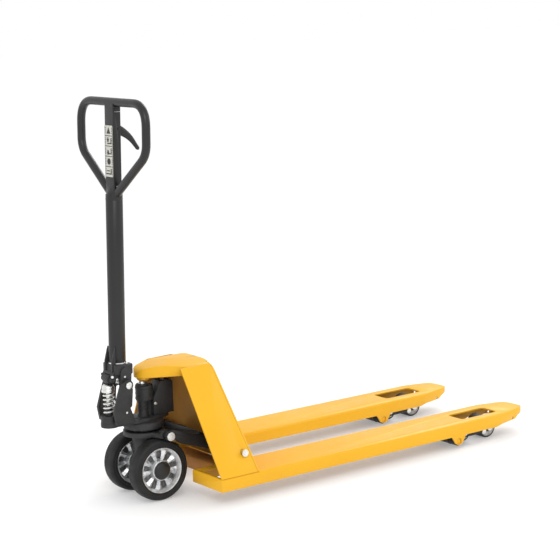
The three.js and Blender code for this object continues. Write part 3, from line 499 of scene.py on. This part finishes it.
def hub_cap(name, side, y):
    """The domed black cap over the end of the axle."""
    mesh = bmesh.new()
    face = 24.3
    profile = [(28, face), (28.2, face + 1.6), (27, face + 3), (25.5, face + 3.4), (24.6, face + 5.4)]
    profile += [(22, face + 7.6), (17, face + 9), (9, face + 9.9), (0.5, face + 10.2)]
    lathe(mesh, [(r, side * h) for r, h in profile], (STEER_X, y, WHEEL_R), "Y", 48)
    make_piece(f"hub_dome_{name}", mesh, f"wheel_{name}", BLACK, (f"hub_cap_{name}",))


def roller(kind, name, y, axle_at, radius, half, face, axle=0):
    """A fork roller: dark tread with rounded shoulders round a bright core."""
    mesh = bmesh.new()
    x, z = axle_at
    core = max(0.5, axle)
    outer = [(radius, 0), (radius, half - 5), (radius - 0.8, half - 2.6), (radius - 2.6, half - 0.8)]
    outer += [(face + 0.6, half - 0.3), (face, half - 1.6)]
    inner = [(face - 1, half - 1.8), (core + 4.4, half - 1.8), (core + 4, half - 0.2), (core, half - 0.2)]
    side = outer + inner
    profile = [(r, -w) for r, w in reversed(side[1:])] + side
    bands = lathe(mesh, profile, (x, y, z), "Y", 64, closed=axle > 0)
    edge = len(inner)
    for k, band in enumerate(bands):
        metal = k < edge or k >= len(profile) - 1 - edge
        for polygon in band:
            polygon.material_index = 1 if metal else 0
    cad_name = f"{kind}_roller_{name}"
    make_piece(f"{kind}_tread_{name}", mesh, cad_name, (NYLON, ROLLER_CORE), (cad_name,))


def wheel_frame_discs(name, side):
    """Nuts and bright pin ends on the outer faces of a wheel frame."""
    mesh = bmesh.new()
    for flip in (-1, 1):
        y = side * FORK_Y + flip * FRAME_SIDE
        nut = [(9, 0), (9, flip * 2), (8, flip * 2.6), (0.5, flip * 2.8)]
        pin = [(8.5, 0), (8.5, flip * 2.4), (7, flip * 3), (0.5, flip * 3.1)]
        lathe(mesh, nut, (EXIT_AXLE[0], y, EXIT_AXLE[1]), "Y", 24)
        lathe(mesh, pin, (FRAME_PIN[0], y, FRAME_PIN[1]), "Y", 24)
    make_piece(f"frame_pins_{name}", mesh, f"wheel_frame_{name}", ZINC)


# ---- handle --------------------------------------------------------------------------------------
def loop_points():
    """The middle line of the handle's loop: up one leg, over the top and down the other."""
    half, top, kink, bend, corner = LOOP_HALF, HANDLE_TOP, 700, 34, 68
    foot = Vector((-36, LOOP_FOOT))
    knee = Vector((-half, kink))
    slope = (foot - knee).normalized()
    inside = foot + slope * 20
    side = [inside + (knee + slope * bend - inside) * (i / 16) for i in range(17)]
    side += [Vector(p) for p in quad_curve(side[-1], knee, (-half, kink + bend), 14)]
    low, high = kink + bend, top - corner
    side += [Vector((-half, low + (high - low) * i / 4)) for i in range(1, 5)]
    side += [Vector(p) for p in quad_curve((-half, high), (-half, top), (-half + corner, top), 22)]
    side += [Vector((-half + corner + (half - corner) * i / 10, top)) for i in range(1, 11)]
    whole = side + [Vector((-p.x, p.y)) for p in reversed(side[:-1])]
    return [stem_point(0, p.x, p.y) for p in whole]


def handle_loop():
    """The bent round bar that the operator holds."""
    mesh = bmesh.new()
    sweep(mesh, loop_points(), lambda t: (LOOP_R, LOOP_R), 32)
    make_piece("loop_bar", mesh, "handle", BLACK, ("handle_loop",))


def handle_joints():
    """The block at the head's top where it meets the loop, and the welds on its two sides."""
    mesh = bmesh.new()
    half_x, half_y = HEAD_HALF_X - 0.2, HEAD_HALF_Y - 0.2
    corners = ((-half_x, -half_y), (half_x, -half_y), (half_x, half_y), (-half_x, half_y))
    loft(mesh, [stem_point(x, y, 828) for x, y in corners], [stem_point(x, y, 843) for x, y in corners])
    make_piece("head_saddle", mesh, "handle", BLACK, (), 1.5)
    mesh = bmesh.new()
    for y in (-24.6, 24.6):
        weld_bead(mesh, [stem_point(x, y, 831 + 0.8 * math.cos(x / 6)) for x in range(-12, 13, 4)], 2.4)
    make_piece("handle_welds", mesh, "handle", BLACK)


def handle_sleeve():
    """The formed transition from the round tube to the flat-sided head."""
    mesh = bmesh.new()
    count = 48
    stages = ((556, 0, 0.1), (560, 0, 0.5), (574, 0.35, 0.6), (588, 0.8, 0.6), (600, 1, 0.4), (603, 1, 0.1))
    loops = []
    for height, blend_in, grow in stages:
        loop = []
        for i in range(count):
            angle = 2 * math.pi * (i + 0.5) / count
            c, d = math.cos(angle), math.sin(angle)
            to_flat_x = (HEAD_HALF_X + grow) / max(abs(c), 1e-6)
            to_flat_y = (HEAD_HALF_Y + grow) / max(abs(d), 1e-6)
            radius = (TUBE_R + grow) * (1 - blend_in) + min(to_flat_x, to_flat_y) * blend_in
            loop.append(mesh.verts.new(stem_point(radius * c, radius * d, height)))
        loops.append(loop)
    bridge(mesh, loops)
    make_piece("head_sleeve", mesh, "handle", BLACK)


def handle_slit():
    """The welded seam across one side of the head just under the loop, and the weld at its foot."""
    mesh = bmesh.new()
    face = -HEAD_HALF_Y - 0.1
    weld_bead(mesh, [stem_point(x, face, 818.5) for x in (-8, 0, 13)], 1.1)
    weld_bead(mesh, [stem_point(x, face - 0.6, 600 + 0.55 * x) for x in (-6, 4, 12)], 1.1)
    make_piece("head_seam", mesh, "handle", SEAM)


def lever():
    """The finger lever: a flattened curved bar that thins towards a rounded tip."""
    mesh = bmesh.new()
    path = [Vector((-3, 773)), Vector((6, 769))]
    path += [Vector(p) for p in quad_curve((6, 769), (48, 754), (70, 725), 12)]
    path += [Vector(p) for p in quad_curve((70, 725), (84, 706), (89, 701.5), 6)]
    points = [stem_point(p.x, 0, p.y) for p in path]

    def half_widths(t):
        root = 16.5 - 10 * min(1, t * 1.3)
        end = math.sqrt(max(0.05, min(1, (1 - t) * 9)))
        return 5.6 * end, root * end

    sweep(mesh, points, half_widths, 20)
    lathe(mesh, [(9.5, -5.2), (9.5, 5.2)], tuple(stem_point(6, 0, 768)), "Y", 28)
    make_piece("finger_lever", mesh, "release_lever", BLACK, ("release_lever",), 0.8, 50)


def decal():
    """Film on the head's rear face: five plain cells with generic pictograms."""
    face = -HEAD_HALF_X - 1.55
    mesh = bmesh.new()

    def patch(outline, depth=0.25):
        loft(mesh, [stem_point(face, y, z) for y, z in outline],
             [stem_point(face - depth, y, z) for y, z in outline])

    def bar(ya, yb, za, zb):
        patch([(ya, za), (yb, za), (yb, zb), (ya, zb)])

    low, step = 625.5, 152 / 5
    for k in range(1, 5):
        bar(-20.6, 20.6, low + k * step - 1, low + k * step + 1)
    for side in (-1, 1):
        bar(side * 21.2 - 0.5, side * 21.2 + 0.5, low + 1, low + 5 * step - 1)
    mids = [low + (k + 0.5) * step for k in range(5)]
    for mid in mids:
        for offset in (-17.5, 17.5):
            for rise in (-8, -3, 2, 7):
                bar(offset - 1.6, offset + 1.6, mid + rise, mid + rise + 2)
    patch([(-11, mids[4] - 9), (11, mids[4] - 9), (0, mids[4] + 10)])
    for z, flip in ((mids[3], 1), (mids[2], -1)):
        bar(-15, -11, z - 9, z + 9)
        bar(-11, 8, z - 9, z - 5.5)
        patch([(-3, z + flip * 9), (11, z + flip * 9), (4, z + flip * 10.5), (3, z + flip * 10.5)])
        patch([(0, z - flip * 3), (8, z - flip * 3), (8, z + flip * 3), (0, z + flip * 3)])
        patch([(-4, z + flip * 3), (12, z + flip * 3), (4, z + flip * 9)])
    ring = [(9.5 * math.cos(math.pi * i / 12), 9.5 * math.sin(math.pi * i / 12)) for i in range(24)]
    patch([(y, mids[1] + z) for y, z in ring])
    bar(-14, 14, mids[0] - 8, mids[0] - 4.5)
    bar(-14, -9, mids[0] - 4.5, mids[0] + 9)
    bar(-5, 12, mids[0] + 1, mids[0] + 4)
    make_piece("decal_marks", mesh, "handle", INK, (), 0, 40)


# ---- pump and base details -----------------------------------------------------------------------
def spring():
    """The pump's return spring, a coil of wire that rides on the plunger."""
    mesh = bmesh.new()
    turns, radius, wire = 5, 15.2, 2.7
    low, high = 272.6 + wire, 343.4 - wire
    path = []
    for i in range(turns * 36 + 1):
        t = i / (turns * 36)
        angle = 2 * math.pi * turns * t
        path.append((PUMP_X + radius * math.cos(angle), radius * math.sin(angle), low + (high - low) * t))
    sweep(mesh, path, lambda t: (wire, wire), 14)
    coil = make_piece("pump_coil", mesh, "pump_plunger", STEEL, ("pump_spring",))
    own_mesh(coil)


def spring_cap():
    """The bright domed cap on the spring, hollow below and flanged at its foot."""
    mesh = bmesh.new()
    profile = [(7.6, 360.4), (7.6, 351), (11.2, 350.6), (11.4, 344.2), (19.6, 344), (20.6, 345)]
    profile += [(20.7, 350.5), (19.6, 352), (19.4, 359), (18.9, 361), (17.4, 363.8)]
    profile += [(14.6, 366.2), (10, 368), (5, 368.8), (0.4, 369)]
    lathe(mesh, profile, (PUMP_X, 0, 0), "Z", 48)
    make_piece("spring_dome", mesh, "pump_plunger", ZINC, ("spring_cap",))


def steer_unit_bolts():
    """Bolts of the pump block and the handle bracket, the pivot pin's end faces and the filler plug."""
    mesh = bmesh.new()
    for side in (-1, 1):
        hexagon_head(mesh, (-64.4, side * 22.1, 286), 9, side * 5, "Y")
        rivet = [(3.6, 0), (3.4, side * 1.6), (2.2, side * 2.4), (0.4, side * 2.5)]
        lathe(mesh, rivet, (-185.7, side * 54.1, 284), "Y", 20)
        hexagon_head(mesh, (-208, side * 37, 258.2), 8, 4.6, "Z")
        pin_end = [(8, 0), (8, side * 1.4), (6.8, side * 2.2), (0.4, side * 2.3)]
        lathe(mesh, pin_end, (PIVOT[0], side * 58.9, PIVOT[1]), "Y", 28)
    hexagon_head(mesh, (-22, 0, 352.2), 12, 6, "Z")
    make_piece("pump_bolts", mesh, "steer_unit", ZINC)


def base_screws():
    """Screws and pin heads in the sides of the handle's base casting."""
    heads = ((-42, 27, 30.1, 4.4, 2.4), (-25, 17, 30.1, 4.4, 2.4), (-5, 25, 41.6, 3.4, 1.0))
    mesh = bmesh.new()
    for side in (-1, 1):
        for x, z, face, radius, height in heads:
            at = stem_point(x - TUBE_X, side * face, z)
            top = side * height
            profile = [(radius, 0), (radius, top * 0.65), (radius * 0.8, top * 0.95), (0.4, top)]
            lathe(mesh, profile, at, "Y", 24)
    make_piece("base_screws", mesh, "handle", ZINC)


def cylinder_bands():
    """Machined rings round the head of the lift cylinder and round the wall below it."""
    mesh = bmesh.new()
    for low, grow in ((303, 1.0), (318, 0.7), (336, 1.3)):
        radius = 27 + grow
        ring = [(26, low), (radius - 0.6, low), (radius, low + 0.8), (radius, low + 3.6)]
        ring += [(radius - 0.6, low + 4.4), (26, low + 4.4)]
        lathe(mesh, ring, (STEER_X + 7, 0, 0), "Z", 48, closed=True)
    for z in (268, 274, 280):
        ring = [(14.5, z), (16.6, z + 0.4), (17.2, z + 1.4), (16.6, z + 2.4), (14.5, z + 2.8)]
        lathe(mesh, ring, (STEER_X, 0, 0), "Z", 40, closed=True)
    make_piece("cylinder_bands", mesh, "steer_unit", CAST)


def base_collar():
    """The collar pressed round the tube's foot."""
    mesh = bmesh.new()
    rings = ((0.3, 62.2), (2.3, 62.2), (2.3, 64.6), (1.2, 65.6), (0.3, 65.6))
    count = 48
    loops = []
    for thickness, height in rings:
        radius = TUBE_R + thickness
        loop = []
        for i in range(count):
            angle = 2 * math.pi * i / count
            at = stem_point(radius * math.cos(angle), radius * math.sin(angle), height)
            loop.append(mesh.verts.new(at))
        loops.append(loop)
    bridge(mesh, loops, closed=True)
    make_piece("tube_collar", mesh, "handle", ZINC)


def rocker_pin_faces():
    """Turned rings on the end faces of the rocker's pins."""
    mesh = bmesh.new()
    for side in (-1, 1):
        rings = [(11.5, 0), (11.2, side * 0.9), (8.6, side * 0.9), (8.2, side * 0.2), (6.2, side * 0.2)]
        rings += [(5.8, side * 1.4), (0.4, side * 1.5)]
        lathe(mesh, rings, (ROCKER_PIN[0], side * 118.9, ROCKER_PIN[1]), "Y", 32)
    make_piece("rocker_pin_rings", mesh, "rocker", ZINC)


# ---- welds of the fork frame ---------------------------------------------------------------------
def side_y(z):
    """Outer face of a side plate at a height."""
    return HALF_WIDTH - HEEL_SLOPE * (z - FORK_TOP)


def face_x(z):
    """Load face at a height."""
    return FACE_X - FACE_LEAN * (z - FORK_TOP)


def frame_welds():
    """Beads at the foot of each side plate, up its edge, under the load face and beside the hood."""
    for name, side in SIDES:
        mesh = bmesh.new()
        foot_y = side * (side_y(FORK_TOP) - 7.4)
        weld_bead(mesh, [(4 + (130 - 4) * i / 12, foot_y, FORK_TOP + 1.2) for i in range(13)], 2.6)
        up = []
        for i in range(25):
            z = 88 + (396 - 88) * i / 24
            up.append((face_x(z) - 6.6, side * (side_y(z) - 7.6), z))
        weld_bead(mesh, up, 2.4)
        weld_bead(mesh, [(FACE_X + 1, side * (150 + i * 12), FORK_TOP + 1) for i in range(10)], 2.2)
        hood_side = [(-12 + i * 11, side * (94.6 + 0.03 * i), 392 + 0.25 * i) for i in range(11)]
        weld_bead(mesh, hood_side, 3.2)
        make_piece(f"weld_beads_{name}", mesh, "fork_frame", YELLOW)


def build_pieces():
    for name, side in SIDES:
        tyre(name, side * WHEEL_Y)
        rim(name, side * WHEEL_Y)
        hub_cap(name, side, side * WHEEL_Y)
        y = side * FORK_Y
        roller("load", name, y, LOAD_AXLE, 37, 34.8, 31, 8.5)
        roller("exit", name, y, EXIT_AXLE, 30, 35.3, 24)
        roller("entry", name, y, ENTRY_AXLE, 21.5, 28, 6.5)
        wheel_frame_discs(name, side)
    handle_loop()
    handle_joints()
    handle_sleeve()
    handle_slit()
    lever()
    decal()
    spring()
    spring_cap()
    steer_unit_bolts()
    base_screws()
    cylinder_bands()
    base_collar()
    rocker_pin_faces()
    frame_welds()


# ---- carried-over CAD nodes ----------------------------------------------------------------------
EDGE_WIDTH = 0.8
SOFT_EDGES = {"hood": 3.0, "pump_body": 1.6, "handle_base": 1.8, "handle_bracket": 1.6, "oil_reservoir": 5.0}
slots = {s["node"]: s["material_slot"] for s in frame["record"]["subparts"]}
for node, obj in frame["nodes"].items():
    obj.data.materials.clear()
    obj.data.materials.append(SLOT_MATERIALS[slots[node]])
    soften(obj, SOFT_EDGES.get(node, EDGE_WIDTH), segments=3 if node in SOFT_EDGES else 2)
# The cross member gets the darker yellow copy as painted shade.
frame["nodes"]["cross_member"].data.materials[0] = SHADED_YELLOW
build_pieces()


# ---- floor, light and camera ---------------------------------------------------------------------
def make_floor():
    """A plain pale floor that glows a little, so that only soft shadows show on it."""
    size = 30
    mesh = bpy.data.meshes.new("floor")
    corners = [(-size, -size, 0), (size, -size, 0), (size, size, 0), (-size, size, 0)]
    mesh.from_pydata(corners, [], [(0, 1, 2, 3)])
    floor = bpy.data.objects.new("floor", mesh)
    bpy.context.scene.collection.objects.link(floor)
    material, nodes, links, shader, where = node_material("pale_floor", 0.9, 0, 0.1)
    tone = ramp(nodes, links, noise(nodes, links, where, 0.8, 2), (0.3, 0.72), (0.7, 0.74))
    links.new(tone, shader.inputs["Base Color"])
    shader.inputs["Emission Color"].default_value = (1, 1, 1, 1)
    shader.inputs["Emission Strength"].default_value = 0.28
    mesh.materials.append(material)


def make_world():
    """Even white surroundings and plain colour settings."""
    world = bpy.data.worlds.new("studio")
    world.use_nodes = True
    background = world.node_tree.nodes["Background"]
    background.inputs["Color"].default_value = (1, 1, 1, 1)
    background.inputs["Strength"].default_value = 1.0
    bpy.context.scene.world = world
    settings = bpy.context.scene.view_settings
    settings.view_transform = "Standard"
    settings.look = "None"


def softbox(name, place, target, size, power):
    """A rectangular studio light at a place, turned to its target."""
    light = bpy.data.lights.new(name, "AREA")
    light.shape = "RECTANGLE"
    light.size, light.size_y = size
    light.energy = power
    obj = bpy.data.objects.new(name, light)
    obj.location = place
    obj.rotation_euler = (Vector(target) - Vector(place)).to_track_quat("-Z", "Y").to_euler()
    bpy.context.scene.collection.objects.link(obj)


def make_camera():
    """The photograph's viewpoint: low, from the steering end and to one side, with a slight roll."""
    azimuth, elevation, roll = math.radians(-35.9), math.radians(9.97), math.radians(-1.85)
    target, distance = Vector((-0.08462, 0, 0.60194)), 5.52925
    back = Vector(
        (
            math.sin(azimuth) * math.cos(elevation),
            -math.cos(azimuth) * math.cos(elevation),
            math.sin(elevation),
        )
    )
    right = (-back).cross(Vector((0, 0, 1))).normalized()
    up = right.cross(-back)
    turned_right = right * math.cos(roll) + up * math.sin(roll)
    turned_up = up * math.cos(roll) - right * math.sin(roll)
    data = bpy.data.cameras.new("camera")
    data.lens = 110.8
    data.sensor_width = 36
    camera = bpy.data.objects.new("camera", data)
    axes = Matrix((turned_right, turned_up, back)).transposed()
    camera.matrix_world = Matrix.Translation(target + back * distance) @ axes.to_4x4()
    bpy.context.scene.collection.objects.link(camera)
    bpy.context.scene.camera = camera


make_floor()
make_world()
softbox("key", (-2.6, -3.2, 3.2), (0, 0, 0.3), (2.2, 1.6), 45)
softbox("rim", (2.2, 1.4, 2.6), (-0.7, 0, 0.9), (0.8, 2.0), 35)
softbox("fill", (3.0, -2.2, 2.6), (0.2, 0, 0.2), (2.5, 2.0), 18)
make_camera()
